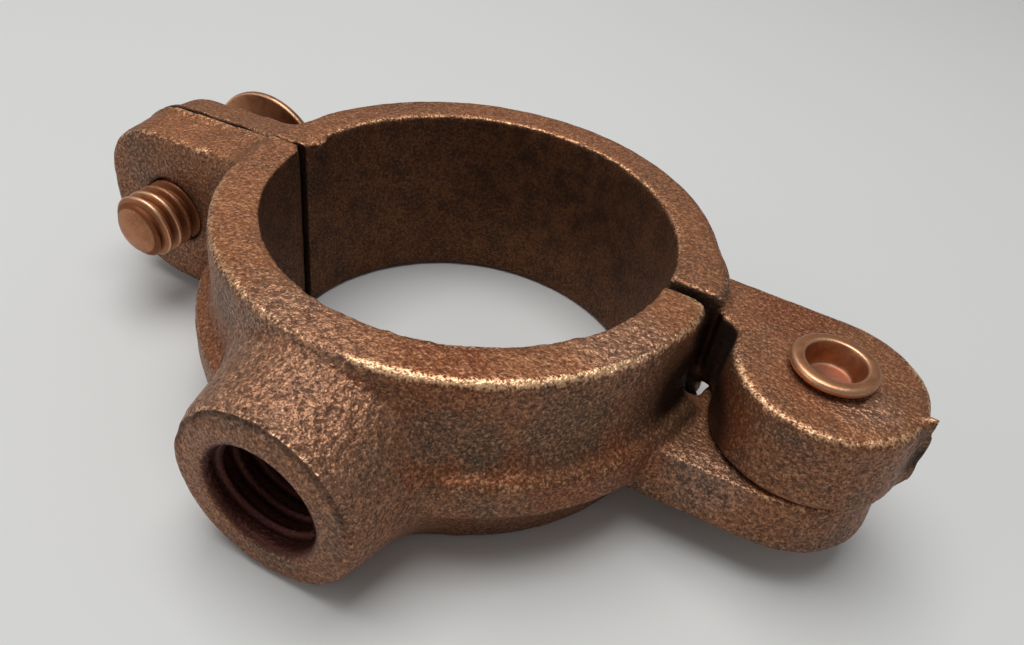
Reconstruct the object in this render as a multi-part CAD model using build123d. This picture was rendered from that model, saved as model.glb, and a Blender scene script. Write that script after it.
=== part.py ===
"""Split ring hanger: a hinged cast ring that clamps a pipe and hangs from a threaded rod.

The pipe runs along Z through the origin, which is the middle of the bore. The ring is split across Y.
The half on the -Y side carries the rod boss, and the half on the +Y side swings open about a rivet on the
+X side. A machine screw closes the two ears on the -X side. Millimetres.
"""

import os
from math import radians, sqrt, tan

from build123d import *

# The ring and the pipe that it holds
pipe_radius = 17.46
pipe_clearance = 0.14
ring_height = 18.5
front_wall = 4.25
rear_wall = 4.1
wall_draft = 1.6
foot_step = 0.3
foot_relief = 1.3
outer_edge_round = 0.7
bore_edge_round = 0.4
parting_drop = 1.0

# The rib that runs round the outside
rib_height = 4.8
rib_reach = 1.8
rear_rib_reach = 1.3
rib_crest_round = 0.8
rib_foot_round = 0.4
rib_root_round = 1.5

# The split: how far its middle lies from the axis, and how wide it is, on each side
ear_split_offset = -0.5
ear_gap = 0.25
hinge_split_offset = 0.6
hinge_gap = 1.1
wall_end_round = 1.7
front_mouth_round = 1.0
rear_mouth_round = 0.35

# The rod boss
boss_length = 6.35
boss_face_radius = 7.9
boss_edge_round = 0.5
boss_taper = 13.0
boss_root_round = 9.0
rod_thread_radius = 4.7625
rod_thread_clearance = 0.04
rod_countersink = 0.42

# The ears and the clamping screw
screw_reach = 8.15
ear_end_reach = 8.5
ear_depth = 8.6
ear_top_slack = 0.1
ear_top_fall = 1.2
ear_top_round = 6.8
ear_bottom_round = 8.0
ear_taper = 5.0
front_ear_thickness = 5.2
rear_ear_thickness = 4.3
ear_edge_round = 0.9
ear_root_round = 2.5
root_sink = 0.5
screw_radius = 3.175
screw_thread_clearance = 0.04
screw_hole_clearance = 0.4
screw_length = 19.05
screw_backed_out = 4.1
screw_tip_chamfer = 0.7
screw_head_radius = 7.3
screw_head_height = 3.4
screw_head_rim = 0.7
screw_slot_width = 1.6
screw_slot_depth = 1.7
screw_slot_turn = 35.0

# The hinge
hinge_reach = 9.95
lug_radius = 7.65
lug_taper = 1.2
lug_seam = 0.1
lug_gap = 0.2
upper_lug_thickness = 7.2
lower_lug_thickness = 5.3
upper_arm_relief = 2.0
lower_lug_margin = 0.15
lower_lug_setback = 0.9
lower_lug_flare = 5.0
lower_arm_spread = 0.4
lug_edge_round = 0.6
upper_root_round = 3.0
upper_heel_round = 1.2
lower_root_round = 4.0
lug_swing_clearance = 0.7
rivet_radius = 2.38
rivet_running_clearance = 0.06
rivet_head_radius = 4.2
rivet_head_height = 1.3
rivet_head_rim = 0.35
rivet_head_flat = 2.3
rivet_roll = 1.12
rivet_roll_thickness = 0.9
rivet_rim_lift = 0.25
rivet_wall = 0.5
rivet_hole_depth = 1.9

# Worked out from the values above
bore_radius = pipe_radius + pipe_clearance
half_height = ring_height / 2
front_radius = bore_radius + front_wall
rear_radius = bore_radius + rear_wall
boss_face_from_axis = front_radius + boss_length
screw_from_axis = front_radius + screw_reach
hinge_from_axis = front_radius + hinge_reach
ear_front_end = ear_split_offset - ear_gap / 2
ear_rear_end = ear_split_offset + ear_gap / 2
hinge_front_end = hinge_split_offset - hinge_gap / 2
hinge_rear_end = hinge_split_offset + hinge_gap / 2
front_ear_face = ear_front_end - front_ear_thickness
rear_ear_face = ear_rear_end + rear_ear_thickness
lower_lug_radius = lug_radius + lower_lug_margin
lower_lug_foot_radius = lower_lug_radius + tan(radians(lower_lug_flare)) * lower_lug_thickness
upper_lug_base = lug_seam + lug_gap
upper_lug_top = upper_lug_base + upper_lug_thickness
upper_lug_foot_radius = lug_radius + tan(radians(lug_taper)) * upper_lug_thickness
lower_lug_base = lug_seam - lower_lug_thickness
screw_seat = rear_ear_face + screw_backed_out
far = 4 * (hinge_from_axis + lug_radius)


def between(y_from, y_to, x_from, x_to):
    """A block that keeps what lies between two planes across Y, over a stretch of X."""
    return Pos((x_from + x_to) / 2, (y_from + y_to) / 2, 0) * Box(x_to - x_from, y_to - y_from, far)


def filleted_face(corners):
    """A closed face on the XY plane from (x, y, corner radius) points."""
    outline = FilletPolyline([(x, y) for x, y, _ in corners], radius=[r for _, _, r in corners], close=True)
    return make_face(outline)


def ring(top_radius, reach):
    """The whole ring with its drafted outside, its rib and its foot, before the split cuts it."""
    lean = tan(radians(wall_draft))
    rib_top = rib_height / 2 - parting_drop
    rib_base = -rib_height / 2 - parting_drop
    upper_root = top_radius + lean * (half_height - rib_top)
    lower_root = upper_root - foot_step
    crest = top_radius + reach
    section = filleted_face(
        [
            (bore_radius, -half_height, bore_edge_round),
            (lower_root - foot_relief, -half_height, outer_edge_round),
            (lower_root, rib_base, rib_root_round),
            (crest, rib_base + rib_foot_round, rib_foot_round),
            (crest, rib_top - rib_crest_round, rib_crest_round),
            (upper_root, rib_top, rib_root_round),
            (top_radius, half_height, outer_edge_round),
            (bore_radius, half_height, bore_edge_round),
        ]
    )
    return revolve(Plane.XZ * section, Axis.Z)


def boss():
    """The tapered boss for the hanger rod, with its root flaring into the ring."""
    foot_radius = boss_face_radius + tan(radians(boss_taper)) * boss_face_from_axis
    cone = filleted_face(
        [
            (0, -boss_face_from_axis, 0),
            (boss_face_radius, -boss_face_from_axis, boss_edge_round),
            (foot_radius, 0, 0),
            (0, 0, 0),
        ]
    )
    wall = Circle(front_radius) & Rectangle(far, far, align=(Align.MIN, Align.MAX))
    profile = cone + wall
    corner = profile.vertices().sort_by_distance((boss_face_radius, -front_radius, 0))[0]
    turned = revolve(fillet(corner, boss_root_round), Axis.Y)
    return Pos(0, 0, -parting_drop) * turned & Box(far, far, ring_height)


def rod_hole():
    """The tapped hole, right through the boss into the bore, with a countersunk mouth."""
    wall = rod_thread_radius + rod_thread_clearance
    mouth = wall + rod_countersink
    face = boss_face_from_axis
    outline = Polyline(
        (0, -face - mouth),
        (mouth + mouth, -face - mouth),
        (wall, -face + rod_countersink),
        (wall, 0),
        (0, 0),
        close=True,
    )
    return Pos(0, 0, -parting_drop) * revolve(make_face(outline), Axis.Y)


def root_web(ring_radius, face, side, root_round):
    """Plan of the concave web where a flat face across Y runs out of the ring on one side of X."""
    radius = ring_radius - root_sink
    corner_x = side * sqrt(radius**2 - face**2)
    strip = Pos(side * far / 2, face / 2) * Rectangle(far, abs(face))
    corner = (strip + Circle(radius)).vertices().sort_by_distance((corner_x, face, 0))[0]
    return fillet(corner, root_round) & Pos(corner_x, face) * Circle(root_round)


def ear(ring_radius, seam, thickness):
    """A screw ear: a drafted plate from the ring to past the screw, outward from the split."""
    top = half_height - ear_top_slack
    end = -screw_from_axis - ear_end_reach
    plan = filleted_face(
        [
            (-bore_radius, top, 0),
            (end, top - ear_top_fall, ear_top_round),
            (end, -ear_depth, ear_bottom_round),
            (-bore_radius, -ear_depth, 0),
        ]
    )
    plate = extrude(Plane.XZ.offset(-seam) * plan, -thickness, taper=ear_taper)
    face = seam + thickness
    rim = plate.edges().filter_by(lambda edge: abs(edge.center().Y - face) < abs(edge.center().Y - seam))
    rim = rim.filter_by(lambda edge: edge.bounding_box().size.Y < ear_edge_round)
    rim = rim.filter_by(lambda edge: edge.center().X < -ring_radius)
    fall_at_wall = ear_top_fall * (ring_radius - bore_radius) / (-end - bore_radius)
    fall_at_face = tan(radians(ear_taper)) * abs(thickness)
    web_base = outer_edge_round - half_height
    web_height = top - fall_at_wall - fall_at_face - web_base
    web = extrude(root_web(ring_radius, face, -1, ear_root_round), web_height)
    return fillet(rim, ear_edge_round) + Pos(0, 0, web_base) * web


def lug_plan(radius, end_x, inner, outer, wall_radius, root_round):
    """Outline of a hinge lug seen along the rivet: a round end, and an arm out of the ring's wall."""
    side = 1 if outer > 0 else -1
    arm = Polyline(
        (0, inner),
        (end_x, inner),
        (end_x, side * radius),
        (wall_radius, outer),
        (0, outer),
        close=True,
    )
    own_side = (Align.MIN, Align.MIN) if outer > 0 else (Align.MIN, Align.MAX)
    wall = Circle(wall_radius - root_sink) & Pos(0, inner) * Rectangle(far, far, align=own_side)
    plan = Pos(end_x, 0) * Circle(radius) + make_face(arm) + wall
    corner = plan.vertices().sort_by_distance((wall_radius, outer, 0))[0]
    return fillet(corner, root_round)


def upper_arm_corner():
    """What leaves the inner corner of the upper lug's arm slanted, beside the socket half's end."""
    slant_x = rear_radius + upper_arm_relief / 2
    outline = Polyline(
        (rear_radius, hinge_rear_end + upper_arm_relief),
        (slant_x, hinge_rear_end),
        (slant_x, hinge_front_end),
        (rear_radius, hinge_front_end),
        close=True,
    )
    return extrude(make_face(outline), ring_height)


def upper_lug():
    """The clamp half's lug, on top."""
    foot = upper_lug_foot_radius
    plan = lug_plan(foot, hinge_from_axis, hinge_rear_end, foot, rear_radius, upper_root_round)
    heel_x = hinge_from_axis - sqrt(foot**2 - hinge_rear_end**2)
    heel = plan.vertices().sort_by_distance((heel_x, hinge_rear_end, 0))[0]
    plan = fillet(heel, upper_heel_round)
    body = Pos(0, 0, upper_lug_base) * extrude(plan, upper_lug_thickness, taper=lug_taper)
    rim = body.edges().group_by(Axis.Z)[-1].filter_by(lambda edge: edge.center().X > rear_radius)
    return fillet(rim, lug_edge_round) - upper_arm_corner()


def lower_lug():
    """The socket half's lug, underneath."""
    end_x = hinge_from_axis - lower_lug_setback
    outer = -lower_lug_radius - lower_arm_spread
    plan = lug_plan(lower_lug_radius, end_x, hinge_front_end, outer, front_radius, lower_root_round)
    body = Pos(0, 0, lug_seam) * extrude(plan, -lower_lug_thickness, taper=-lower_lug_flare)
    rim = body.edges().group_by(Axis.Z)[0].filter_by(lambda edge: edge.center().X > front_radius)
    return fillet(rim, lug_edge_round)


def rivet_hole(clearance, base, top):
    """A hole through a lug for the rivet's shank."""
    middle = (base + top) / 2
    return Pos(hinge_from_axis, 0, middle) * Cylinder(rivet_radius + clearance, top - base + lug_gap)


def screw_hole(clearance, y_from, y_to):
    """A hole through an ear for the clamping screw."""
    middle = (y_from + y_to) / 2
    drill = Cylinder(screw_radius + clearance, y_to - y_from + ear_gap)
    return Pos(-screw_from_axis, middle, 0) * Rot(90, 0, 0) * drill


def swing_room(radius, base, top):
    """The round space that the other half's lug sweeps beside the ring."""
    return Pos(hinge_from_axis, 0, (base + top) / 2) * Cylinder(radius + lug_swing_clearance, top - base)


def wall_end_corner():
    """What leaves the outer corner of the socket half's end round, beside the upper lug."""
    corner = Pos(front_radius - wall_end_round, hinge_front_end - wall_end_round)
    block = corner * Rectangle(far, far, align=(Align.MIN, Align.MIN)) - corner * Circle(wall_end_round)
    return Pos(0, 0, lug_seam) * extrude(block, ring_height)


def mouth_corner(end, side, mouth_round):
    """What leaves the bore-side corner of a half's end round, at the ears."""
    corner = Pos(-bore_radius - mouth_round, end + side * mouth_round)
    inward = (Align.MIN, Align.MAX if side > 0 else Align.MIN)
    square = Rectangle(2 * mouth_round, 2 * mouth_round, align=inward)
    block = corner * square - corner * Circle(mouth_round)
    return Pos(0, 0, -half_height) * extrude(block, ring_height)


def socket_half():
    """The front casting: half ring, rod boss, lower lug and tapped ear."""
    split = between(-far, ear_front_end, -far, 0) + between(-far, hinge_front_end, 0, far)
    body = ring(front_radius, rib_reach) - swing_room(upper_lug_foot_radius, lug_seam, ring_height)
    body = (body - wall_end_corner() + boss()) & split
    body += ear(front_radius, ear_front_end, -front_ear_thickness)
    body += lower_lug()
    body -= Cylinder(bore_radius, ring_height)
    body -= mouth_corner(ear_front_end, -1, front_mouth_round)
    body -= rod_hole()
    body -= screw_hole(screw_thread_clearance, front_ear_face, ear_front_end)
    body -= rivet_hole(0, lower_lug_base, lug_seam)
    return body


def clamp_half():
    """The rear casting: half ring, upper lug and the ear with the clearance hole."""
    split = between(ear_rear_end, far, -far, 0) + between(hinge_rear_end, far, 0, far)
    lower_lug_reach = lower_lug_foot_radius + lower_lug_setback
    body = ring(rear_radius, rear_rib_reach) - swing_room(lower_lug_reach, -ring_height, upper_lug_base)
    body = body & split
    body += ear(rear_radius, ear_rear_end, rear_ear_thickness)
    body += upper_lug()
    body -= Cylinder(bore_radius, ring_height)
    body -= mouth_corner(ear_rear_end, 1, rear_mouth_round)
    body -= screw_hole(screw_hole_clearance, ear_rear_end, rear_ear_face)
    body -= rivet_hole(rivet_running_clearance, upper_lug_base, upper_lug_top)
    return body


def hinge_rivet():
    """The semi-tubular rivet: factory head below, rim rolled over on top."""
    rim_base = upper_lug_top + rivet_rim_lift
    rim_top = rim_base + rivet_roll_thickness
    roll = rivet_roll_thickness / 2
    roll_x = rivet_radius + rivet_roll - roll
    hole = rivet_radius - rivet_wall
    outer = Polyline(
        (0, lower_lug_base - rivet_head_height),
        (rivet_head_flat, lower_lug_base - rivet_head_height),
        (rivet_head_radius, lower_lug_base - rivet_head_rim),
        (rivet_head_radius, lower_lug_base),
        (rivet_radius, lower_lug_base),
        (rivet_radius, rim_base),
        (roll_x, rim_base),
    )
    curl = ThreePointArc((roll_x, rim_base), (roll_x + roll, rim_base + roll), (roll_x, rim_top))
    inner = Polyline(
        (roll_x, rim_top),
        (rivet_radius, rim_top),
        (hole, rim_base - rivet_roll_thickness),
        (hole, rim_top - rivet_hole_depth),
        (0, rim_top - rivet_hole_depth),
        (0, lower_lug_base - rivet_head_height),
    )
    return Pos(hinge_from_axis, 0, 0) * revolve(Plane.XZ * make_face(outer + curl + inner), Axis.Z)


def clamp_screw():
    """The machine screw: broad domed head with a slot, plain shank at the thread's outside size."""
    outline = Polyline(
        (0, screw_head_height),
        (0, -screw_length),
        (screw_radius - screw_tip_chamfer, -screw_length),
        (screw_radius, screw_tip_chamfer - screw_length),
        (screw_radius, 0),
        (screw_head_radius, 0),
        (screw_head_radius, screw_head_rim),
    )
    dome = TangentArc((0, screw_head_height), (screw_head_radius, screw_head_rim), tangent=(1, 0))
    turned = revolve(make_face(outline + dome), Axis.Y)
    slot = Pos(0, screw_head_height, 0) * Box(screw_slot_width, 2 * screw_slot_depth, 4 * screw_head_radius)
    return Pos(-screw_from_axis, screw_seat, 0) * Rot(0, screw_slot_turn, 0) * (turned - slot)


def main():
    """Writes one STEP file for each piece."""
    os.makedirs("parts", exist_ok=True)
    pieces = {
        "socket_half": socket_half(),
        "clamp_half": clamp_half(),
        "hinge_rivet": hinge_rivet(),
        "clamp_screw": clamp_screw(),
    }
    for name, piece in pieces.items():
        export_step(piece, f"parts/{name}.step")


main()
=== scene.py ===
import logging
import math
from dataclasses import dataclass
from enum import Enum
from typing import NamedTuple, Union

import bmesh
import bpy
import numpy as np
from mathutils import Matrix, Vector, noise


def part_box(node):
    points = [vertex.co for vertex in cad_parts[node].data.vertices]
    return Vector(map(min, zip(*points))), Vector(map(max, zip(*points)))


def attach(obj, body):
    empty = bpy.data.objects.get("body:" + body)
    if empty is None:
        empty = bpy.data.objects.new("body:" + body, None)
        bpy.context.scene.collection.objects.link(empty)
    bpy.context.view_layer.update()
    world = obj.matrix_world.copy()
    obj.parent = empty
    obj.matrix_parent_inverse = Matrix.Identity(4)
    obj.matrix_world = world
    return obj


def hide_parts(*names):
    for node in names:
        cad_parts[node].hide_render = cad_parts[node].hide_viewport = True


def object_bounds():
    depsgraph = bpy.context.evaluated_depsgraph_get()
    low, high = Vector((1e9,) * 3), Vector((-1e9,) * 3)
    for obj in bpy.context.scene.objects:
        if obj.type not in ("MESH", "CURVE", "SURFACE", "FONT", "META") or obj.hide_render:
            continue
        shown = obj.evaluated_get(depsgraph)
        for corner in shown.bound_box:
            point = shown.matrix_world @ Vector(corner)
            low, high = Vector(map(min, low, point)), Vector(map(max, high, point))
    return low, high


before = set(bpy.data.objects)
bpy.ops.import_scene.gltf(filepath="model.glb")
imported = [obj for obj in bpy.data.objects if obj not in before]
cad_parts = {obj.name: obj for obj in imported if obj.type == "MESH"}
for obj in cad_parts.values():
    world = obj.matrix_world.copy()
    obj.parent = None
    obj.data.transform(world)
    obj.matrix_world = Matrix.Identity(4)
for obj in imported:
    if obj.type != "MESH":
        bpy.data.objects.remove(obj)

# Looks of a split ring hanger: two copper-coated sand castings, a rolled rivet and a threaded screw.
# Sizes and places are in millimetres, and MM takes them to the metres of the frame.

MM = 0.001
SAME_POINT = 0.001
BOX_MARGIN = 0.001
BALL_CORE = 0.45
LUMP_ROUNDNESS = 3
CAD_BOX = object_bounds()
LOG = logging.getLogger("ring_hanger")

Array = np.ndarray
Piece = bpy.types.Object
Material = bpy.types.Material
Colour = tuple[float, float, float]
Triple = tuple[float, float, float]
Balls = tuple[tuple[float, float, float, float], ...]
Weights = tuple[float, ...]
Value = Union["Term", float]


class Mask(str, Enum):
    """Names of the measures that a mesh carries at its points for its finish, each from 0 to 1."""

    EDGE = "edge_wear_and_highlight"
    RECESS = "recess_dirt_and_shade"
    BORE = "bore_skin_and_shade"
    HOLE = "hole_skin"
    SPLIT = "split_shade"
    TOP = "painted_top_light"
    STAIN = "painted_shade_patch"
    COARSE = "coarse_sand"


class Span(NamedTuple):
    """Two values between which something rises smoothly from 0 to 1, or falls where the second is lower."""

    start: float
    end: float

    def of(self, values: Array) -> Array:
        """How far each value has risen, from 0 to 1."""
        t = np.clip((values - self.start) / (self.end - self.start), 0, 1)
        return t * t * (3 - 2 * t)


class Blobs(NamedTuple):
    """Cloudy noise in a shader: its blobs' width, its finer layers and their weight, and its own shift."""

    size: float
    detail: float = 2.0
    roughness: float = 0.5
    shift: float = 0.0


@dataclass
class Term:
    """An output socket that takes part in expressions, each operator adding a Math node."""

    graph: "Graph"
    output: bpy.types.NodeSocket

    def __add__(self, other: Value) -> "Term":
        """The sum of two values."""
        return self.graph.math("ADD", self, other)

    def __sub__(self, other: Value) -> "Term":
        """The difference of two values."""
        return self.graph.math("SUBTRACT", self, other)

    def __rsub__(self, other: Value) -> "Term":
        """A number less this value."""
        return self.graph.math("SUBTRACT", other, self)

    def __mul__(self, other: Value) -> "Term":
        """The product of two values."""
        return self.graph.math("MULTIPLY", self, other)

    def clipped(self) -> "Term":
        """The value held between 0 and 1."""
        return self.graph.math("ADD", self, 0.0, clamp=True)


class Graph:
    """A material's node tree, with one method that adds a node of any type."""

    def __init__(self, name: str) -> None:
        """Makes a material with an empty tree.

        Args:
            name: the material's name.
        """
        self.material = bpy.data.materials.new(name)
        self.material.use_nodes = True
        self.tree = self.material.node_tree
        self.tree.nodes.clear()

    def node(self, kind: str, settings: dict | None = None, values: dict | None = None) -> bpy.types.Node:
        """Adds a node.

        Args:
            kind: the node's type name.
            settings: its settings by attribute name, set before its sockets.
            values: numbers, colours or terms by the name or number of the input socket.

        Returns:
            The node.
        """
        made = self.tree.nodes.new(kind)
        for name, setting in (settings or {}).items():
            setattr(made, name, setting)
        for socket, value in (values or {}).items():
            if isinstance(value, Term):
                self.tree.links.new(value.output, made.inputs[socket])
            else:
                made.inputs[socket].default_value = value
        return made

    def term(self, kind: str, settings: dict | None = None, values: dict | None = None,
             output: int | str = 0) -> Term:
        """Adds a node and wraps one of its outputs.

        Args:
            kind: the node's type name.
            settings: its settings.
            values: its inputs.
            output: the name or number of the output.

        Returns:
            That output.
        """
        return Term(self, self.node(kind, settings, values).outputs[output])

    def math(self, operation: str, first: Value, second: Value, clamp: bool = False) -> Term:
        """Adds a Math node.

        Args:
            operation: the operation's name.
            first: its first value.
            second: its second value.
            clamp: True where the result is held between 0 and 1.

        Returns:
            The result.
        """
        return self.term("ShaderNodeMath", {"operation": operation, "use_clamp": clamp},
                         {0: first, 1: second})

    def mix(self, share: Value, first: Colour | Term, second: Colour | Term) -> Term:
        """Blends two colours.

        Args:
            share: the second colour's share, from 0 to 1.
            first: the colour at 0.
            second: the colour at 1.

        Returns:
            The blended colour.
        """
        ends = [end if isinstance(end, Term) else (*end, 1.0) for end in (first, second)]
        return self.term("ShaderNodeMix", {"data_type": "RGBA"},
                         {"Factor": share, 6: ends[0], 7: ends[1]}, output=2)

    def noise(self, blobs: Blobs) -> Term:
        """Adds cloudy noise over the surface.

        Args:
            blobs: its sizes.

        Returns:
            The noise, about 0.5 in the mean.
        """
        shift = blobs.shift * MM
        moved = self.term("ShaderNodeVectorMath", {"operation": "ADD"},
                          {0: self.term("ShaderNodeTexCoord", output="Object"), 1: (shift, shift, shift)})
        return self.term("ShaderNodeTexNoise", None,
                         {"Vector": moved, "Scale": 1 / (blobs.size * MM), "Detail": blobs.detail,
                          "Roughness": blobs.roughness})

    def ramp(self, value: Term, span: Span) -> Term:
        """Lets a value rise smoothly from 0 to 1 over a span."""
        return self.term("ShaderNodeMapRange", {"interpolation_type": "SMOOTHSTEP"},
                         {"Value": value, "From Min": span.start, "From Max": span.end,
                          "To Min": 0.0, "To Max": 1.0})

    def total(self, parts: tuple[Term, ...], weights: Weights) -> Term:
        """Adds values up.

        Args:
            parts: the values.
            weights: a number to multiply each by, and where there is one more, a number to add.

        Returns:
            The sum.
        """
        total = parts[0] * weights[0]
        for part, weight in zip(parts[1:], weights[1:]):
            total = total + part * weight
        return total + weights[-1] if len(weights) > len(parts) else total

    def measure(self, mask: Mask) -> Term:
        """One of the measures that the mesh carries."""
        return self.term("ShaderNodeAttribute", {"attribute_name": mask.value}, output="Fac")

    def bump(self, height: Term, depth: float) -> Term:
        """Tilts the normal by a height from 0 to 1, with 1 standing a depth in millimetres above 0."""
        return self.term("ShaderNodeBump", None, {"Strength": 1.0, "Distance": depth * MM, "Height": height})

    def finish(self, sockets: dict) -> Material:
        """Ends the tree in a Principled shader.

        Args:
            sockets: the shader's inputs by name.

        Returns:
            The finished material.
        """
        shader = self.node("ShaderNodeBsdfPrincipled", None, sockets)
        output = self.node("ShaderNodeOutputMaterial")
        self.tree.links.new(shader.outputs[0], output.inputs["Surface"])
        return self.material


@dataclass(frozen=True)
class CastCopper:
    """Copper-coloured coating on sand-cast iron: fine grain with painted glints, gilt worn edges with a
    painted highlight, red-brown hollows, painted top light and painted shade.
    """

    name: str = "copper_coated_casting"
    copper: Colour = (0.370, 0.140, 0.054)
    brown: Colour = (0.168, 0.072, 0.036)
    rust: Colour = (0.225, 0.058, 0.016)
    gilt: Colour = (0.920, 0.560, 0.310)
    fleck: Colour = (0.640, 0.340, 0.190)
    grit: Colour = (0.045, 0.022, 0.014)
    patina_and_shade: Colour = (0.092, 0.066, 0.045)
    dusty: Colour = (0.295, 0.178, 0.125)
    bore_dark: Colour = (0.042, 0.018, 0.009)
    bore_light: Colour = (0.128, 0.050, 0.021)
    hole: Colour = (0.058, 0.010, 0.008)
    split: Colour = (0.026, 0.011, 0.006)
    grain: Blobs = Blobs(0.30, 1.0)
    speck: Blobs = Blobs(0.17, 1.0, shift=31.0)
    crinkle: Blobs = Blobs(0.62, 2.0, 0.55, 71.0)
    patch: Blobs = Blobs(6.0, 3.0, 0.55, 7.0)
    blotch: Blobs = Blobs(2.0, 2.0, 0.6, 53.0)
    copper_weights: Weights = (0.55, 0.9, 0.4, 0.15, -0.42)
    worn_weights: Weights = (0.6, 0.4)
    worn: Span = Span(0.50, 0.34)
    patina_off_top_light: float = 0.7
    patina_share: float = 0.5
    dusty_weights: Weights = (-0.5, 0.75)
    rust_weights: Weights = (1.2, 0.8, -0.55)
    rust_share: float = 0.8
    tops: Span = Span(0.47, 0.70)
    tops_lumpy: float = 0.35
    glitter_weights: Weights = (0.15, 0.25, 0.55)
    rub_weights: Weights = (0.80, 1.5, 0.6)
    rub: Span = Span(1.36, 1.96)
    rub_off_shade: float = 0.6
    halves: Weights = (0.5, 0.5)
    bore_spots: Span = Span(0.38, 0.62)
    bore_share: float = 0.95
    hole_share: float = 0.92
    pits: Span = Span(0.50, 0.34)
    pits_lumpy: float = 0.45
    pits_share: float = 0.66
    split_share: float = 0.93
    relief: float = 0.24
    grain_heights: Weights = (0.34, 0.18)
    crinkle_heights: Weights = (1.6, 0.2)
    rough_weights: Weights = (0.20, -0.12, 0.14, 0.50)
    metal_weights: Weights = (0.15, -0.2, 0.72)

    def material(self) -> Material:
        """Builds the coating.

        Returns:
            Its material.
        """
        g = Graph(self.name)
        edge, recess, bore, hole, split, top_light, stain, coarse = (g.measure(mask) for mask in Mask)
        grain, speck, crinkle = g.noise(self.grain), g.noise(self.speck), g.noise(self.crinkle)
        patch, blotch = g.noise(self.patch), g.noise(self.blotch)
        fleck = g.total((grain, speck), self.halves)
        lumpy = (crinkle - 0.5) * coarse

        # Tops get more copper as painted top light; patches, blotches and coarse sand vary it at random.
        base = g.total((top_light, patch, blotch, coarse), self.copper_weights).clipped()
        colour = g.mix(base, self.brown, self.copper)
        # Patina in random worn patches, less on tops as painted top light; the stain measure pulls shaded
        # walls and corners to the same colour as painted shade.
        worn = g.ramp(g.total((patch, blotch), self.worn_weights), self.worn)
        worn = worn * (1.0 - top_light * self.patina_off_top_light)
        colour = g.mix(((worn + stain) * self.patina_share).clipped(), colour, self.patina_and_shade)
        colour = g.mix(coarse * g.total((patch,), self.dusty_weights), colour, self.dusty)
        rust = g.total((recess, blotch), self.rust_weights).clipped() * (1.0 - stain)
        colour = g.mix(rust * self.rust_share, colour, self.rust)
        # Lighter copper flecks of the grain all over, more on top faces as painted glints, and more on
        # coarse sand.
        tops = g.ramp(fleck + lumpy * self.tops_lumpy, self.tops)
        colour = g.mix(tops * g.total((top_light, coarse), self.glitter_weights), colour, self.fleck)
        # Gilt on worn edges: partly real wear, partly a painted edge highlight.
        rub = g.ramp(g.total((edge, fleck, blotch), self.rub_weights), self.rub)
        colour = g.mix(rub * (1.0 - stain * self.rub_off_shade), colour, self.gilt)
        # The bore in dark and light spots: a dark skin, darkened further as painted shade.
        bore_spots = g.ramp(g.total((blotch, fleck), self.halves), self.bore_spots)
        colour = g.mix(bore * self.bore_share, colour, g.mix(bore_spots, self.bore_dark, self.bore_light))
        colour = g.mix(hole * self.hole_share, colour, self.hole)
        pits = g.ramp(fleck + lumpy * self.pits_lumpy, self.pits)
        colour = g.mix(pits * self.pits_share, colour, self.grit)
        # Painted shade in the split, in the shade balls and along the boss face's edge.
        colour = g.mix(split * self.split_share, colour, self.split)

        bare = (1.0 - bore) * (1.0 - hole)
        height = g.total((grain, speck), self.grain_heights)
        height = height + crinkle * g.total((coarse,), self.crinkle_heights)
        return g.finish({"Base Color": colour, "Metallic": g.total((bore, pits), self.metal_weights),
                         "Roughness": g.total((pits, rub * bare, bore), self.rough_weights),
                         "Normal": g.bump(height, self.relief)})


@dataclass(frozen=True)
class FastenerCopper:
    """Copper-coloured plating on drawn steel, smooth, rubbed bright with a painted highlight on its crests,
    and painted shade in its hollows.
    """

    name: str = "copper_coated_fastener"
    copper: Colour = (0.56, 0.255, 0.125)
    shade: Colour = (0.200, 0.064, 0.025)
    bright: Colour = (0.95, 0.58, 0.36)
    floor: Colour = (0.42, 0.205, 0.140)
    stain: Blobs = Blobs(1.8, 3.0, 0.6, 11.0)
    fine: Blobs = Blobs(0.16, 2.0, 0.6, 3.0)
    stained: Span = Span(0.34, 0.80)
    stain_share: float = 0.8
    shade_weights: Weights = (1.2, 0.3, -0.1)
    shade_share: float = 0.85
    rub_weights: Weights = (1.1, 0.9, 0.6, -0.95)
    rub_share: float = 0.85
    floor_weights: Weights = (0.7, 0.55)
    rough_weights: Weights = (0.14, 0.18, -0.12, 0.36)
    metal: float = 0.95
    relief: float = 0.03
    heights: Weights = (0.4, 0.6)

    def material(self) -> Material:
        """Builds the plating.

        Returns:
            Its material.
        """
        g = Graph(self.name)
        stain, fine = g.noise(self.stain), g.noise(self.fine)
        edge, recess, floor = (g.measure(mask) for mask in (Mask.EDGE, Mask.RECESS, Mask.HOLE))
        colour = g.mix(g.ramp(stain, self.stained) * self.stain_share, self.copper, self.shade)
        # Painted shade in hollows, from the recess measure with a little fine noise.
        dirt_and_shade = g.total((recess, fine), self.shade_weights).clipped()
        colour = g.mix(dirt_and_shade * self.shade_share, colour, self.shade)
        # Crests and edges rubbed bright: partly wear, partly a painted highlight.
        rub = g.total((edge, fine, stain), self.rub_weights).clipped()
        colour = g.mix(rub * self.rub_share, colour, self.bright)
        colour = g.mix(floor * g.total((stain,), self.floor_weights), colour, self.floor)
        return g.finish({"Base Color": colour, "Metallic": self.metal,
                         "Roughness": g.total((stain, recess, rub), self.rough_weights),
                         "Normal": g.bump(g.total((fine, stain), self.heights), self.relief)})


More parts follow.
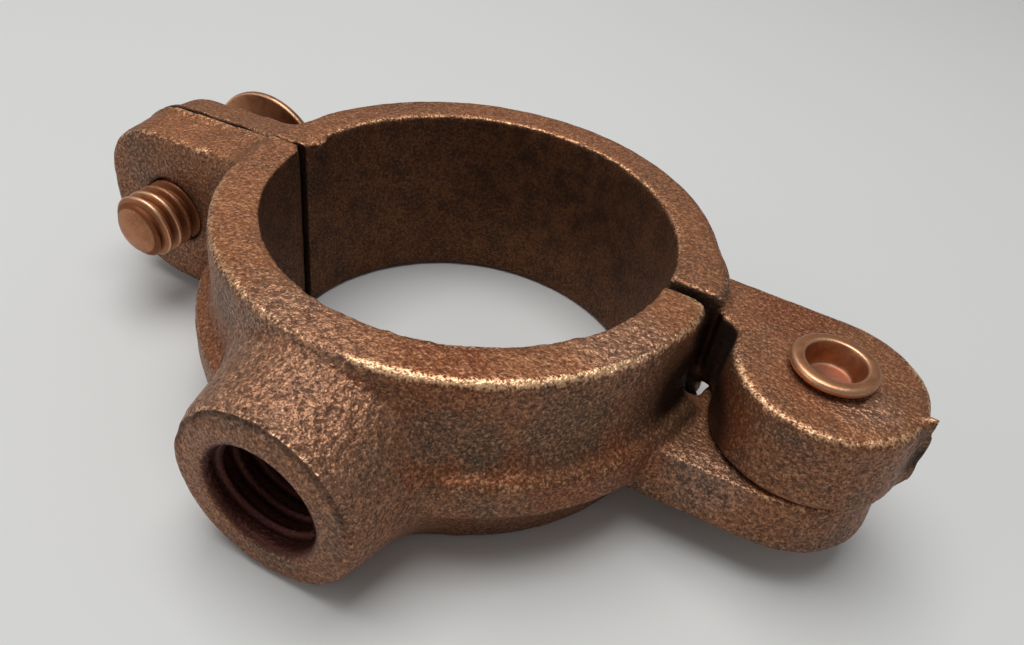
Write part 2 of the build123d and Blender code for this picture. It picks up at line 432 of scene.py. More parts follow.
@dataclass(frozen=True)
class PaleFloor:
    """Matt pale table top, not part of the object."""

    name: str = "pale_floor"
    pale: Colour = (0.715, 0.715, 0.700)
    deep: Colour = (0.69, 0.69, 0.675)
    blobs: Blobs = Blobs(60.0)
    rough: float = 0.6
    specular: float = 0.25

    def material(self) -> Material:
        """Builds the floor's finish.

        Returns:
            Its material.
        """
        g = Graph(self.name)
        colour = g.mix(g.noise(self.blobs), self.pale, self.deep)
        return g.finish({"Base Color": colour, "Roughness": self.rough, "Specular IOR Level": self.specular})


def add_object(name: str, data: bpy.types.ID) -> Piece:
    """Puts a mesh, a lamp or a camera into the scene.

    Args:
        name: the object's name.
        data: what it shows.

    Returns:
        The object.
    """
    made = bpy.data.objects.new(name, data)
    bpy.context.scene.collection.objects.link(made)
    return made


@dataclass
class Surface:
    """A mesh of four-sided faces held as arrays while it is shaped, in millimetres."""

    points: Array
    quads: Array

    def edges(self) -> Array:
        """Every edge of the faces once, as pairs of point numbers."""
        pairs = np.concatenate([self.quads[:, [k, (k + 1) % 4]] for k in range(4)])
        return np.unique(np.sort(pairs, axis=1), axis=0)

    def spread(self, values: Array, rounds: int, share: float = 0.5) -> Array:
        """Evens values out between neighbouring points.

        Args:
            values: one row of numbers for each point.
            rounds: how often it is done.
            share: how far a value goes towards its neighbours' mean each time.

        Returns:
            The evened values.
        """
        ends = self.edges()
        count = np.bincount(ends.ravel(), minlength=len(values))[:, None]
        for _ in range(rounds):
            total = np.empty_like(values)
            for column in range(values.shape[1]):
                total[:, column] = (np.bincount(ends[:, 0], values[ends[:, 1], column], len(values))
                                    + np.bincount(ends[:, 1], values[ends[:, 0], column], len(values)))
            values = values + share * (total / count - values)
        return values

    def normals(self) -> Array:
        """Finds the outward directions.

        Returns:
            One of length 1 for each point.
        """
        corner = [self.points[self.quads[:, k]] for k in range(4)]
        facing = np.cross(corner[2] - corner[0], corner[3] - corner[1])
        total = np.zeros_like(self.points)
        for k in range(4):
            for axis in range(3):
                total[:, axis] += np.bincount(self.quads[:, k], facing[:, axis], len(self.points))
        return total / np.maximum(np.linalg.norm(total, axis=1, keepdims=True), 1e-12)

    def stand_out(self, rounds: int) -> Array:
        """How far each point stands above the mean surface round it, in millimetres."""
        mean = self.spread(self.points, rounds)
        return np.einsum("ij,ij->i", self.points - mean, self.normals())

    def piece(self, name: str, material: Material,
              masks: dict[Mask, Array]) -> Piece:
        """Makes the Blender object.

        Args:
            name: the object's name.
            material: its finish.
            masks: the measures that its finish reads.

        Returns:
            The object, at the origin, with its mesh in metres.
        """
        mesh = bpy.data.meshes.new(name)
        mesh.from_pydata((self.points * MM).tolist(), [], self.quads.tolist())
        mesh.shade_smooth()
        for mask, values in masks.items():
            mesh.attributes.new(mask.value, "FLOAT", "POINT").data.foreach_set(
                "value", np.clip(values, 0, 1).astype(np.float32))
        mesh.materials.append(material)
        return add_object(name, mesh)


@dataclass(frozen=True)
class Flash:
    """A stray lump of metal on a casting: an ellipsoid, in millimetres and degrees about the bore's axis."""

    middle: Triple
    half: Triple
    turn: float = 0.0

    def matrix(self) -> Matrix:
        """Finds what turns a ball of radius 1 m into the lump.

        Returns:
            Its place, turn and size.
        """
        place = Matrix.Translation(Vector(self.middle) * MM)
        size = Matrix.Diagonal((*(Vector(self.half) * MM), 1.0))
        return place @ Matrix.Rotation(math.radians(self.turn), 4, "Z") @ size


def even_skin(node: str, voxel: float, lumps: tuple[Flash, ...] = ()) -> Surface:
    """Covers a CAD node with small even faces.

    Args:
        node: the CAD node's name.
        voxel: the faces' width in millimetres.
        lumps: what else the skin covers.

    Returns:
        The node's surface.
    """
    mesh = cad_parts[node].data.copy()
    work = bmesh.new()
    work.from_mesh(mesh)
    bmesh.ops.remove_doubles(work, verts=work.verts, dist=SAME_POINT * MM)
    for lump in lumps:
        bmesh.ops.create_icosphere(work, subdivisions=LUMP_ROUNDNESS, radius=1.0, matrix=lump.matrix())
    work.to_mesh(mesh)
    work.free()
    scratch = add_object("scratch", mesh)
    remesh = scratch.modifiers.new("even", "REMESH")
    remesh.mode = "VOXEL"
    remesh.voxel_size = voxel * MM
    depsgraph = bpy.context.evaluated_depsgraph_get()
    even = bpy.data.meshes.new_from_object(scratch.evaluated_get(depsgraph))
    bpy.data.objects.remove(scratch)
    points = np.empty(len(even.vertices) * 3)
    even.vertices.foreach_get("co", points)
    corners = np.empty(len(even.loops), dtype=np.int64)
    even.loops.foreach_get("vertex_index", corners)
    return Surface(points.reshape(-1, 3) / MM, corners.reshape(-1, 4))


def cloud(points: Array, size: float, shift: float) -> Array:
    """Smooth noise at points.

    Args:
        points: the points in millimetres.
        size: the width of its blobs in millimetres.
        shift: its own number, so that two clouds differ.

    Returns:
        The noise at each point, about -1 to 1.
    """
    scaled = points / size + shift
    return np.array([noise.noise(Vector(p)) for p in scaled.tolist()])


@dataclass(frozen=True)
class Sand:
    """Unevenness that the mould leaves: how deep it is, how wide its blobs are, and a shift of its own."""

    depth: float
    size: float
    shift: float

    def waves(self, points: Array) -> Array:
        """The unevenness at each point, up and down."""
        return self.depth * cloud(points, self.size, self.shift)

    def below(self, points: Array) -> Array:
        """The unevenness at each point with its highest places level with the drawn shape."""
        return self.waves(points) - self.depth


def within(surface: Surface, node: str, over: float = 0.0) -> None:
    """Keeps a surface inside its CAD node's box.

    Args:
        surface: the surface, which is changed.
        node: the CAD node's name.
        over: how far it may stand out at the +X end, in millimetres.
    """
    low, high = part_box(node)
    limit = np.array(high) / MM - BOX_MARGIN + np.array([over, 0.0, 0.0])
    surface.points = np.clip(surface.points, np.array(low) / MM + BOX_MARGIN, limit)


def near(points: Array, balls: Balls) -> Array:
    """How deep each point lies in the nearest of some soft balls.

    Args:
        points: the points.
        balls: each ball's middle and radius.

    Returns:
        The depth at each point, from 0 outside every ball to 1 in the core of one.
    """
    share = np.zeros(len(points))
    for *middle, radius in balls:
        away = np.linalg.norm(points - np.array(middle), axis=1)
        share = np.maximum(share, Span(radius, BALL_CORE * radius).of(away))
    return share


def partly(values: Array, share: float) -> Array:
    """Lets values from 0 to 1 take away no more than a share."""
    return 1 - share + share * values


@dataclass
class Casting:
    """One half of the ring: the CAD solid with a sand casting's softened edges, lumps and marks.

    A front is measured towards -Y, a reach outward from the bore's wall, and a rim from the rod hole's axis.
    """

    node: str
    body: str
    name: str
    lumps: tuple[Flash, ...] = ()
    melted: Balls = ()
    shade_patches: Balls = ()
    shades: Balls = ()
    coarse: Balls = ()
    rusty: Balls = ()
    flash_reach: float = 0.0
    top_light_share: float = 1.0
    worn: Span = Span(0.04, 0.17)
    voxel: float = 0.28
    soften_rounds: int = 4
    wear_rounds: int = 26
    bore_radius: float = 17.6
    hole_radius: float = 4.8
    hole_height: float = -1.0
    hole_depth: float = 17.0
    ear_seam: float = -0.5
    seam_sharp: Span = Span(1.1, 0.5)
    seam_reach: float = 0.7
    mouth_front: Span = Span(26.8, 27.4)
    mouth_rim: Span = Span(6.2, 5.6)
    fill_rounds: int = 40
    fill_share: float = 0.7
    corner_depth: Span = Span(0.08, 0.35)
    corner_rounds: int = 6
    bore_facing: Span = Span(0.55, 0.85)
    bore_reach: Span = Span(0.8, 0.3)
    bore_lit: float = 0.32
    lit_low: Span = Span(-2.0, 8.0)
    lit_aside: Span = Span(6.0, 16.0)
    hole_facing: Span = Span(0.3, 0.7)
    hole_wall: Span = Span(0.75, 0.45)
    split_middle: float = 0.1
    split_facing: Span = Span(0.6, 0.9)
    split_near: Span = Span(1.4, 1.0)
    seam_fades: Span = Span(-25.0, -23.0)
    seam_fade: float = 0.85
    ear_reach: float = 1.5
    shade_upward: Span = Span(0.8, 0.5)
    # Worn edges get a painted highlight where they face up.
    upward: Span = Span(0.15, 0.80)
    upward_highlight_share: float = 0.55
    break_facing: Span = Span(0.35, 0.75)
    break_front: Span = Span(26.6, 27.2)
    break_height: Span = Span(-1.0, 2.5)
    break_rim: Span = Span(6.5, 7.5)
    break_proud: Span = Span(0.07, 0.15)
    break_shade: float = 0.65
    sunk: Span = Span(0.02, 0.16)
    rib_shade: float = 0.75
    rib_top: Span = Span(0.0, 1.2)
    rib_shade_top: Span = Span(4.0, 2.2)
    rib_reach: Span = Span(3.0, 3.8)
    rib_end: float = 7.0
    rusty_share: float = 0.8
    face_facing: Span = Span(0.6, 0.9)
    face_front: Span = Span(27.0, 27.8)
    face_smooth: float = 0.6
    wall_shade: float = 0.32
    wall_reach: Span = Span(2.6, 3.4)
    wall_end: Span = Span(7.4, 6.4)
    wall_height: Span = Span(0.5, 2.5)
    top_facing: Span = Span(0.55, 0.95)
    rubbed_reach: Span = Span(0.9, 1.8)
    rubbed_by_reach: float = 0.85
    rubbed_height: Span = Span(-6.0, 2.0)
    rubbed_by_height: float = 0.65
    mould: Sand = Sand(0.0375, 3.2, 3.7)
    pebbles: Sand = Sand(0.0275, 1.0, 9.1)
    pebbles_more: float = 1.8
    chips: Sand = Sand(0.06, 0.9, 21.3)
    chips_reach: Span = Span(1.0, 0.3)
    chips_height: Span = Span(7.6, 8.8)
    breaks: Sand = Sand(0.20, 1.3, 41.7)
    crumbs: Sand = Sand(0.20, 0.8, 13.1)
    broken_front: Span = Span(26.9, 27.7)
    broken_rim: Span = Span(6.2, 7.2)
    dents: Sand = Sand(0.16, 2.2, 27.1)
    ear_aside: Span = Span(24.0, 26.0)
    ear_height: Span = Span(5.0, 7.0)

    def build(self, finish: CastCopper) -> Piece:
        """Builds and dresses the casting.

        Args:
            finish: the coating.

        Returns:
            The piece, riding on its body in place of its CAD node.
        """
        skin = even_skin(self.node, self.voxel, self.lumps)
        free = self.away_from_seam(skin.points)[:, None]
        drawn = skin.points
        skin.points = drawn + (skin.spread(drawn, self.soften_rounds) - drawn) * free
        self.fill(skin)
        proud = skin.stand_out(self.wear_rounds)
        normal = skin.normals()
        masks = self.masks(skin.points, normal, proud)
        skin.points = skin.points + self.swell(skin.points) + normal * self.sink(skin.points)[:, None] * free
        within(skin, self.node, self.flash_reach)
        made = skin.piece(self.name, finish.material(), masks)
        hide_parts(self.node)
        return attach(made, self.body)

    def from_bore(self, points: Array) -> Array:
        """How far outside the bore's wall each point lies."""
        return np.hypot(points[:, 0], points[:, 1]) - self.bore_radius

    def from_hole(self, points: Array) -> Array:
        """How far from the rod hole's axis each point lies."""
        return np.hypot(points[:, 0], points[:, 2] - self.hole_height)

    def on_ears(self, points: Array, reach: float) -> Array:
        """True for each point on the ears' side that lies beyond a distance from the bore."""
        return points[:, 0] < -self.bore_radius - reach

    def away_from_seam(self, points: Array) -> Array:
        """Finds the places whose edges stay sharp: the ears' seam and the rod hole's mouth.

        Args:
            points: the surface's points.

        Returns:
            0 in those places, and 1 away from them.
        """
        seam = self.seam_sharp.of(np.abs(points[:, 1] - self.ear_seam))
        seam = seam * self.on_ears(points, self.seam_reach)
        mouth = self.mouth_front.of(-points[:, 1]) * self.mouth_rim.of(self.from_hole(points))
        return 1 - np.maximum(seam, mouth)

    def fill(self, skin: Surface) -> None:
        """Rounds off the inner corners, and all that lies near the melted places.

        Args:
            skin: the surface, which is changed.
        """
        even = skin.spread(skin.points, self.fill_rounds)
        depth = -np.einsum("ij,ij->i", skin.points - even, skin.normals())
        share = self.fill_share * skin.spread(self.corner_depth.of(depth)[:, None], self.corner_rounds)[:, 0]
        share = np.maximum(share, near(skin.points, self.melted)) * self.away_from_seam(skin.points)
        skin.points = skin.points + (even - skin.points) * share[:, None]

    def masks(self, points: Array, normal: Array, proud: Array) -> dict[Mask, Array]:
        """Measures the edge wear with its painted highlight, the dirt, the dark skins, the bore's with
        painted shade, the split's painted shade, the painted top light, the painted shade patches and the
        coarse sand.

        Args:
            points: the surface's points.
            normal: the outward direction at each.
            proud: how far each stands above the surface round it.

        Returns:
            Each measure, from 0 to 1 at every point.
        """
        front, height = -points[:, 1], points[:, 2]
        reach, rim = self.from_bore(points), self.from_hole(points)
        forward, upward = -normal[:, 1], normal[:, 2]
        broken = self.break_facing.of(forward) * self.break_front.of(front) * self.break_height.of(height)
        # Worn edges, brighter where they face up as a painted highlight, and none on the boss's forward
        # face.
        edge = (self.worn.of(proud) * self.rubbed(points)
                * partly(self.upward.of(upward), self.upward_highlight_share) * (1 - broken))
        # A painted shadow line along the boss face's outer edge.
        rim_shadow_line = broken * self.break_proud.of(proud) * self.break_rim.of(rim)
        above_rib = (self.rib_top.of(height) * self.rib_shade_top.of(height)
                     * self.rib_reach.of(reach) * (reach < self.rib_end))
        dirt_and_shade = np.maximum(self.sunk.of(-proud), self.rib_shade * above_rib)
        split = self.split_facing.of(np.abs(forward)) * self.split_near.of(np.abs(front + self.split_middle))
        closed = self.seam_fades.of(points[:, 0]) * self.on_ears(points, self.ear_reach)
        shade = np.maximum(split * (1 - self.seam_fade * closed),
                           near(points, self.shades) * self.shade_upward.of(upward))
        # Outer side walls, darkened as painted shade through the stain measure.
        wall = ((1 - np.abs(upward)) * self.wall_reach.of(reach) * self.wall_end.of(reach)
                * self.wall_height.of(height))
        on_face = self.face_facing.of(forward) * self.face_front.of(front)
        to_bore = -np.einsum("ij,ij->i", points[:, :2], normal[:, :2]) / np.hypot(points[:, 0], front)
        # The bore's dark skin is partly painted shade, lightened at the bottom and at the sides as painted
        # light.
        lit = np.maximum(self.lit_low.of(-height), self.lit_aside.of(np.abs(points[:, 0])))
        bore = self.bore_facing.of(to_bore) * self.bore_reach.of(reach) * (1 - self.bore_lit * lit)
        to_hole = -(points[:, 0] * normal[:, 0] + (height - self.hole_height) * upward) / rim
        hole = (self.hole_facing.of(to_hole) * self.hole_wall.of(rim - self.hole_radius)
                * (front > self.hole_depth))
        return {Mask.EDGE: edge,
                Mask.RECESS: np.maximum(dirt_and_shade, self.rusty_share * near(points, self.rusty)),
                Mask.BORE: bore,
                Mask.HOLE: hole,
                Mask.SPLIT: np.maximum(shade, self.break_shade * rim_shadow_line),
                Mask.TOP: self.top_light_share * self.top_facing.of(upward),
                Mask.STAIN: np.maximum(near(points, self.shade_patches), self.wall_shade * wall),
                Mask.COARSE: near(points, self.coarse) * (1 - self.face_smooth * on_face)}

    def rubbed(self, points: Array) -> Array:
        """How much handling has reached each point, from 0 to 1."""
        return (partly(self.rubbed_reach.of(self.from_bore(points)), self.rubbed_by_reach)
                * partly(self.rubbed_height.of(points[:, 2]), self.rubbed_by_height))

    def swell(self, points: Array) -> Array:
        """How far each point moves from the drawn shape, apart from the sand's marks."""
        return np.zeros_like(points)

    def sink(self, points: Array) -> Array:
        """How far the sand has left each point below the drawn shape.

        Args:
            points: the surface's points.

        Returns:
            The length at each point, negative below the drawn shape.
        """
        height, front = points[:, 2], -points[:, 1]
        pebbles = self.pebbles.below(points) * (1 + self.pebbles_more * near(points, self.coarse))
        at_rim = self.chips_reach.of(self.from_bore(points)) * self.chips_height.of(height)
        at_face = (self.broken_front.of(front) * self.broken_rim.of(self.from_hole(points))
                   * self.break_height.of(height))
        on_ear = self.ear_aside.of(-points[:, 0]) * self.ear_height.of(height)
        return (self.mould.below(points) + pebbles + at_rim * self.chips.below(points)
                + at_face * (self.breaks.below(points) + self.crumbs.waves(points))
                + on_ear * self.dents.below(points))


@dataclass
class SocketCasting(Casting):
    """The front half, with the rod boss."""

    node: str = "socket_half"
    body: str = "socket"
    name: str = "socket_casting"
    lumps: tuple[Flash, ...] = (
        Flash((9.75, -14.68, 8.60), (1.10, 0.34, 0.50), 34.0),
        Flash((14.45, -9.85, 8.60), (0.90, 0.40, 0.50), 56.0),
        Flash((12.40, -12.45, 8.60), (1.30, 0.26, 0.45), 45.0),
    )
    melted: Balls = ((-22.6, -6.2, 7.8, 3.4), (-22.6, -6.2, -8.6, 2.4))
    # Painted shade: dark patches at the boss's root, on the wall right of it and at the hinge end.
    shade_patches: Balls = ((9.4, -19.9, 4.2, 3.4), (12.0, -18.4, 3.2, 3.0), (17.2, -14.6, 4.4, 5.5),
                     (20.8, -6.8, 3.0, 4.6), (22.6, -4.4, 2.0, 4.4))
    coarse: Balls = ((0.0, -26.5, 4.0, 11.0), (-3.0, -21.0, 6.0, 8.0), (26.5, -8.6, 0.0, 5.0),
                     (17.6, -8.5, 9.2, 5.5), (6.2, -23.4, -0.6, 3.0))
    rusty: Balls = ((8.4, -18.2, 9.2, 5.0), (17.5, -14.5, -0.5, 4.5), (20.5, -9.5, 0.5, 4.2),
                    (-24.5, -4.5, -6.0, 5.0))
    shades: Balls = ((22.3, -0.9, 4.0, 4.4), (22.3, -0.9, 7.5, 2.8), (22.2, -3.7, 3.2, 4.6))
    right_from: Span = Span(-86.0, -78.0)
    right_to: Span = Span(-16.0, -46.0)
    right_height: Span = Span(7.0, 8.5)
    boss_front: Span = Span(26.0, 27.5)
    boss_height: Span = Span(0.0, 5.0)
    rub_weights: Weights = (0.70, 0.45, 0.20)

    def rubbed(self, points: Array) -> Array:
        """Adds wear on the top's outer edge right of the boss, and wear with a painted highlight on the
        boss's upper rim.

        Args:
            points: the surface's points.

        Returns:
            The wear at each, from 0 to 1.
        """
        angle = np.degrees(np.arctan2(points[:, 1], points[:, 0]))
        right = self.right_from.of(angle) * self.right_to.of(angle) * self.right_height.of(points[:, 2])
        boss = self.boss_front.of(-points[:, 1]) * self.boss_height.of(points[:, 2])
        all_over, on_right, on_boss = self.rub_weights
        return np.clip(super().rubbed(points) * all_over + right * on_right + boss * on_boss, 0, 1)


@dataclass
class ClampCasting(Casting):
    """The rear half, whose lug lies on top at the hinge."""

    node: str = "clamp_half"
    body: str = "clamp"
    name: str = "clamp_casting"
    lumps: tuple[Flash, ...] = (
        Flash((39.40, -1.15, 4.90), (0.90, 0.30, 2.60), -8.0),
        Flash((39.55, -1.20, 2.50), (0.80, 0.26, 1.90), -8.0),
        Flash((39.25, -1.10, 7.10), (0.82, 0.40, 0.95), -8.0),
        Flash((-17.70, 1.50, 8.75), (0.80, 1.10, 0.45), -12.0),
        Flash((21.90, 1.05, -1.60), (1.20, 0.50, 2.00)),
    )
    melted: Balls = ((-22.6, 4.6, 7.8, 3.2), (-22.6, 4.6, -8.6, 2.4))
    # Painted shade on the fin at the lug's end.
    shade_patches: Balls = ((39.8, -1.2, 6.0, 2.6), (39.8, -1.2, 2.5, 2.8))
    coarse: Balls = ((35.0, -2.5, 9.2, 4.0),)
    rusty: Balls = ((25.6, -4.6, 3.4, 4.6), (27.6, 6.0, 7.5, 5.0))
    shades: Balls = ((22.6, 1.0, 4.0, 4.4), (23.4, 0.6, 6.5, 3.4), (24.4, -3.4, 1.5, 4.6),
                     (40.6, -1.2, 4.0, 2.0))
    flash_reach: float = 0.7
    # The clamp's painted top light is weaker.
    top_light_share: float = 0.72
    worn: Span = Span(0.09, 0.17)
    lug_aside: Span = Span(23.5, 26.0)
    lug_height: Span = Span(5.5, 6.8)
    thin_reach: Span = Span(1.2, 0.6)
    thin_height: Span = Span(8.0, 8.8)
    rub_weights: Weights = (0.45, 0.25, 0.55)
    flare: float = 0.85
    flare_angles: Span = Span(26.0, 10.0)
    flare_side: float = 60.0
    flare_reach: Span = Span(1.9, 4.1)
    flare_height: Span = Span(7.4, 8.4)
    seam_face: float = -0.375
    seam_depth: float = 0.2
    seam_closed: float = 0.235
    seam_noise: Sand = Sand(1.0, 3.4, 17.9)
    seam_patches: Span = Span(-0.05, 0.35)
    screw_at: float = -30.0
    seat_radius: float = 7.42
    seat_face: float = 3.90
    seat_depth: float = 1.2

    def rubbed(self, points: Array) -> Array:
        """Adds wear on the lug's upper edge, and a thin line of it on the bore's.

        Args:
            points: the surface's points.

        Returns:
            The wear at each, from 0 to 1.
        """
        height = points[:, 2]
        lug = self.lug_aside.of(points[:, 0]) * self.lug_height.of(height)
        line = self.thin_reach.of(self.from_bore(points)) * self.thin_height.of(height)
        all_over, on_lug, on_line = self.rub_weights
        return np.clip(super().rubbed(points) * all_over + lug * on_lug + line * on_line, 0, 1)

    def swell(self, points: Array) -> Array:
        """Leans the wall outward at the hinge, closes the seam in patches and keeps the screw's seat flat.

        Args:
            points: the surface's points.

        Returns:
            How far each point moves.
        """
        side, depth = points[:, 0], points[:, 1]
        angle = np.degrees(np.arctan2(depth, side))
        lean = (self.flare * self.flare_angles.of(angle) * (np.abs(angle) < self.flare_side)
                * self.flare_reach.of(self.from_bore(points)) * self.flare_height.of(points[:, 2]))
        moved = points * [1, 1, 0] / np.hypot(side, depth)[:, None] * lean[:, None]
        at_seam = (np.abs(depth - self.seam_face) < self.seam_depth) * self.on_ears(points, self.ear_reach)
        patches = self.seam_patches.of(self.seam_noise.waves(points))
        moved[:, 1] -= self.seam_closed * at_seam * np.maximum(self.seam_fades.of(side), patches)
        from_screw = np.hypot(side - self.screw_at, points[:, 2])
        over_seat = depth - self.seat_face
        at_seat = (from_screw < self.seat_radius) * (side < self.screw_at + self.seat_radius)
        moved[:, 1] -= at_seat * (over_seat < self.seat_depth) * np.maximum(over_seat, 0)
        return moved


@dataclass
class RolledRivet:
    """The semi-tubular rivet through the lugs, its rim rolled over on top."""

    node: str = "hinge_rivet"
    from_axis: float = 31.8
    voxel: float = 0.13
    soften_rounds: int = 4
    wear_rounds: int = 20
    dents: Sand = Sand(0.02, 1.4, 5.3)
    worn: Span = Span(0.02, 0.09)
    sunk: Span = Span(0.02, 0.12)
    floor: float = 6.75
    floor_radius: Span = Span(1.85, 1.65)
    floor_near: Span = Span(0.5, 0.2)

    def build(self, finish: FastenerCopper) -> Piece:
        """Builds and dresses the rivet.

        Args:
            finish: the plating.

        Returns:
            The piece, riding with the socket half.
        """
        skin = even_skin(self.node, self.voxel)
        skin.points = skin.spread(skin.points, self.soften_rounds)
        proud = skin.stand_out(self.wear_rounds)
        skin.points = skin.points + skin.normals() * self.dents.below(skin.points)[:, None]
        within(skin, self.node)
        reach = np.hypot(skin.points[:, 0] - self.from_axis, skin.points[:, 1])
        floor = self.floor_radius.of(reach) * self.floor_near.of(np.abs(skin.points[:, 2] - self.floor))
        # Rim edges worn bright with a painted highlight, and painted shade in its hollows.
        made = skin.piece("rolled_rivet", finish.material(),
                          {Mask.EDGE: self.worn.of(proud), Mask.RECESS: self.sunk.of(-proud),
                           Mask.HOLE: floor})
        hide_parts(self.node)
        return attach(made, "socket")


@dataclass
class ThreadedScrew:
    """The clamping screw: slotted truss head and rolled thread along its whole shank."""

    node: str = "clamp_screw"
    axis_at: float = -30.0
    tip: float = -11.02
    seat: float = 8.025
    crest_radius: float = 3.175
    pitch: float = 1.27
    thread_depth: float = 0.62
    flank: Span = Span(0.12, 0.86)
    runout: Span = Span(0.1, 1.2)
    tip_radius: float = 2.30
    tip_dome: float = 0.55
    tip_break: float = 0.05
    tip_slope: float = 1.15
    dome_rings: tuple[float, ...] = (0.25, 0.5, 0.75, 0.93)
    in_head: float = 0.6
    columns: int = 96
    rows_per_pitch: int = 22
    crest_worn: float = 0.22
    root_shade: float = 0.35
    inward: Span = Span(2.6, 4.6)
    shade_outside: float = 0.36
    shade_inward: float = 0.56
    crest_dim_inward: float = 0.8
    tip_face_shade: float = 0.24
    face_worn: float = 0.2
    voxel: float = 0.16
    soften_rounds: int = 4
    wear_rounds: int = 20
    seat_gap: float = 0.07
    seat_inner: float = 0.1
    cut_below: float = 0.35
    worn: Span = Span(0.04, 0.16)
    sunk: Span = Span(0.02, 0.12)

    @property
    def root_radius(self) -> float:
        """The radius at the thread's root."""
        return self.crest_radius - self.thread_depth

    def thread_radius(self, along: Array, angle: Array) -> Array:
        """The shank's radius.

        Args:
            along: the distance from the tip.
            angle: the angle round the axis.

        Returns:
            The radius at each place.
        """
        phase = (along / self.pitch - angle / (2 * math.pi)) % 1.0
        radius = self.root_radius + self.thread_depth * self.flank.of(np.abs(2 * phase - 1))
        chamfer = self.tip_radius - self.tip_break + along * self.tip_slope
        full = self.runout.of(self.seat - self.tip - along)
        return np.minimum(radius * full + self.root_radius * (1 - full), chamfer)

    def shank(self) -> Surface:
        """The threaded shank from its domed tip to inside the head.

        Returns:
            The shank along +Z, its tip at the origin.
        """
        length = self.seat - self.tip + self.in_head
        along = np.linspace(0, length, int(length / self.pitch * self.rows_per_pitch))
        angle = np.arange(self.columns) / self.columns * 2 * math.pi
        grid_along, grid_angle = np.meshgrid(along, angle, indexing="ij")
        share = np.array(self.dome_rings)[:, None] * np.ones(self.columns)
        radius = np.vstack([self.tip_radius * share, self.thread_radius(grid_along, grid_angle)])
        height = np.vstack([-self.tip_dome * (1 - share ** 2), grid_along]) + self.tip_dome
        return ring_grid(radius, height, np.vstack([grid_angle[:1]] * len(share) + [grid_angle]))

    def thread(self, material: Material) -> Piece:
        """Builds the shank, its crests worn bright with a painted highlight, and painted shade in its roots
        and where it goes into the ear.

        Args:
            material: the plating.

        Returns:
            The piece.
        """
        shank = self.shank()
        reach = np.hypot(shank.points[:, 0], shank.points[:, 1])
        shank.points = np.stack([shank.points[:, 0] + self.axis_at, shank.points[:, 2] + self.tip,
                                 -shank.points[:, 1]], axis=1)
        from_tip = shank.points[:, 1] - self.tip
        inward = self.inward.of(from_tip)
        # Crests worn bright with a painted highlight, dimmed towards the ear; painted shade in the roots,
        # over the whole shank, and more towards the ear.
        crest = Span(self.crest_radius - self.crest_worn, self.crest_radius).of(reach)
        edge = crest * (1 - self.crest_dim_inward * inward)
        root = Span(self.root_radius + self.root_shade, self.root_radius).of(reach)
        dirt_and_shade = np.maximum(root, self.shade_outside + self.shade_inward * inward)
        face = from_tip < self.tip_dome + self.tip_break
        return shank.piece("screw_thread", material,
                           {Mask.EDGE: np.where(face, self.face_worn, edge),
                            Mask.RECESS: np.where(face, self.tip_face_shade, dirt_and_shade)})

    def head(self, material: Material) -> Piece:
        """Builds the truss head with its slot, its underside flat and just clear of the seat.

        Args:
            material: the plating.

        Returns:
            The piece, in place of the screw's CAD node.
        """
        skin = even_skin(self.node, self.voxel)
        skin.points = skin.spread(skin.points, self.soften_rounds)
        reach = np.hypot(skin.points[:, 0] - self.axis_at, skin.points[:, 2])
        under = self.seat + self.seat_gap
        underside = (reach > self.crest_radius + self.seat_inner) * (skin.points[:, 1] < under)
        skin.points[:, 1] = np.where(underside, under, skin.points[:, 1])
        proud = skin.stand_out(self.wear_rounds)
        # Edges worn bright with a painted highlight, and painted shade in the slot and hollows.
        made = skin.piece("screw_head", material,
                          {Mask.EDGE: self.worn.of(proud), Mask.RECESS: self.sunk.of(-proud)})
        trim(made, skin.points[:, 1] > self.seat - self.cut_below)
        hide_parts(self.node)
        return made

    def build(self, finish: FastenerCopper) -> Piece:
        """Builds and dresses the screw.

        Args:
            finish: the plating.

        Returns:
            The head, riding on the screw's body with the thread.
        """
        material = finish.material()
        pieces = [self.thread(material), self.head(material)]
        for made in pieces:
            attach(made, "screw")
        return pieces[-1]


def trim(piece: Piece, keep: Array) -> None:
    """Removes the points of a piece that aren't kept, and closes the cut.

    Args:
        piece: the piece, whose mesh is changed.
        keep: True for each point that stays.
    """
    work = bmesh.new()
    work.from_mesh(piece.data)
    work.verts.ensure_lookup_table()
    gone = [vertex for vertex, stays in zip(work.verts, keep) if not stays]
    bmesh.ops.delete(work, geom=gone, context="VERTS")
    rim = [edge for edge in work.edges if edge.is_boundary]
    bmesh.ops.holes_fill(work, edges=rim, sides=0)
    work.to_mesh(piece.data)
    work.free()


def ring_grid(radius: Array, along: Array, angle: Array) -> Surface:
    """Joins rings of points round the Z axis into a closed surface.

    Args:
        radius: each point's distance from the axis, one row for each ring.
        along: its height.
        angle: its angle.

    Returns:
        The surface, its ends closed by faces round a middle point.
    """
    rings, columns = radius.shape
    points = np.stack([radius * np.cos(angle), radius * np.sin(angle), along], axis=2).reshape(-1, 3)
    number = np.arange(rings * columns).reshape(rings, columns)
    following = np.roll(number, -1, axis=1)
    sides = np.stack([number[:-1], following[:-1], following[1:], number[1:]], axis=2).reshape(-1, 4)
    middle = np.array([[0.0, 0.0, along[0].mean()], [0.0, 0.0, along[-1].mean()]])
    first, last = rings * columns, rings * columns + 1
    pairs = np.arange(0, columns, 2)
    fan = [pairs, pairs + 1, (pairs + 2) % columns]
    start = np.stack([np.full(len(pairs), first), *(number[0, place] for place in reversed(fan))], axis=1)
    end = np.stack([np.full(len(pairs), last), *(number[-1, place] for place in fan)], axis=1)
    return Surface(np.vstack([points, middle]), np.vstack([sides, start, end]))


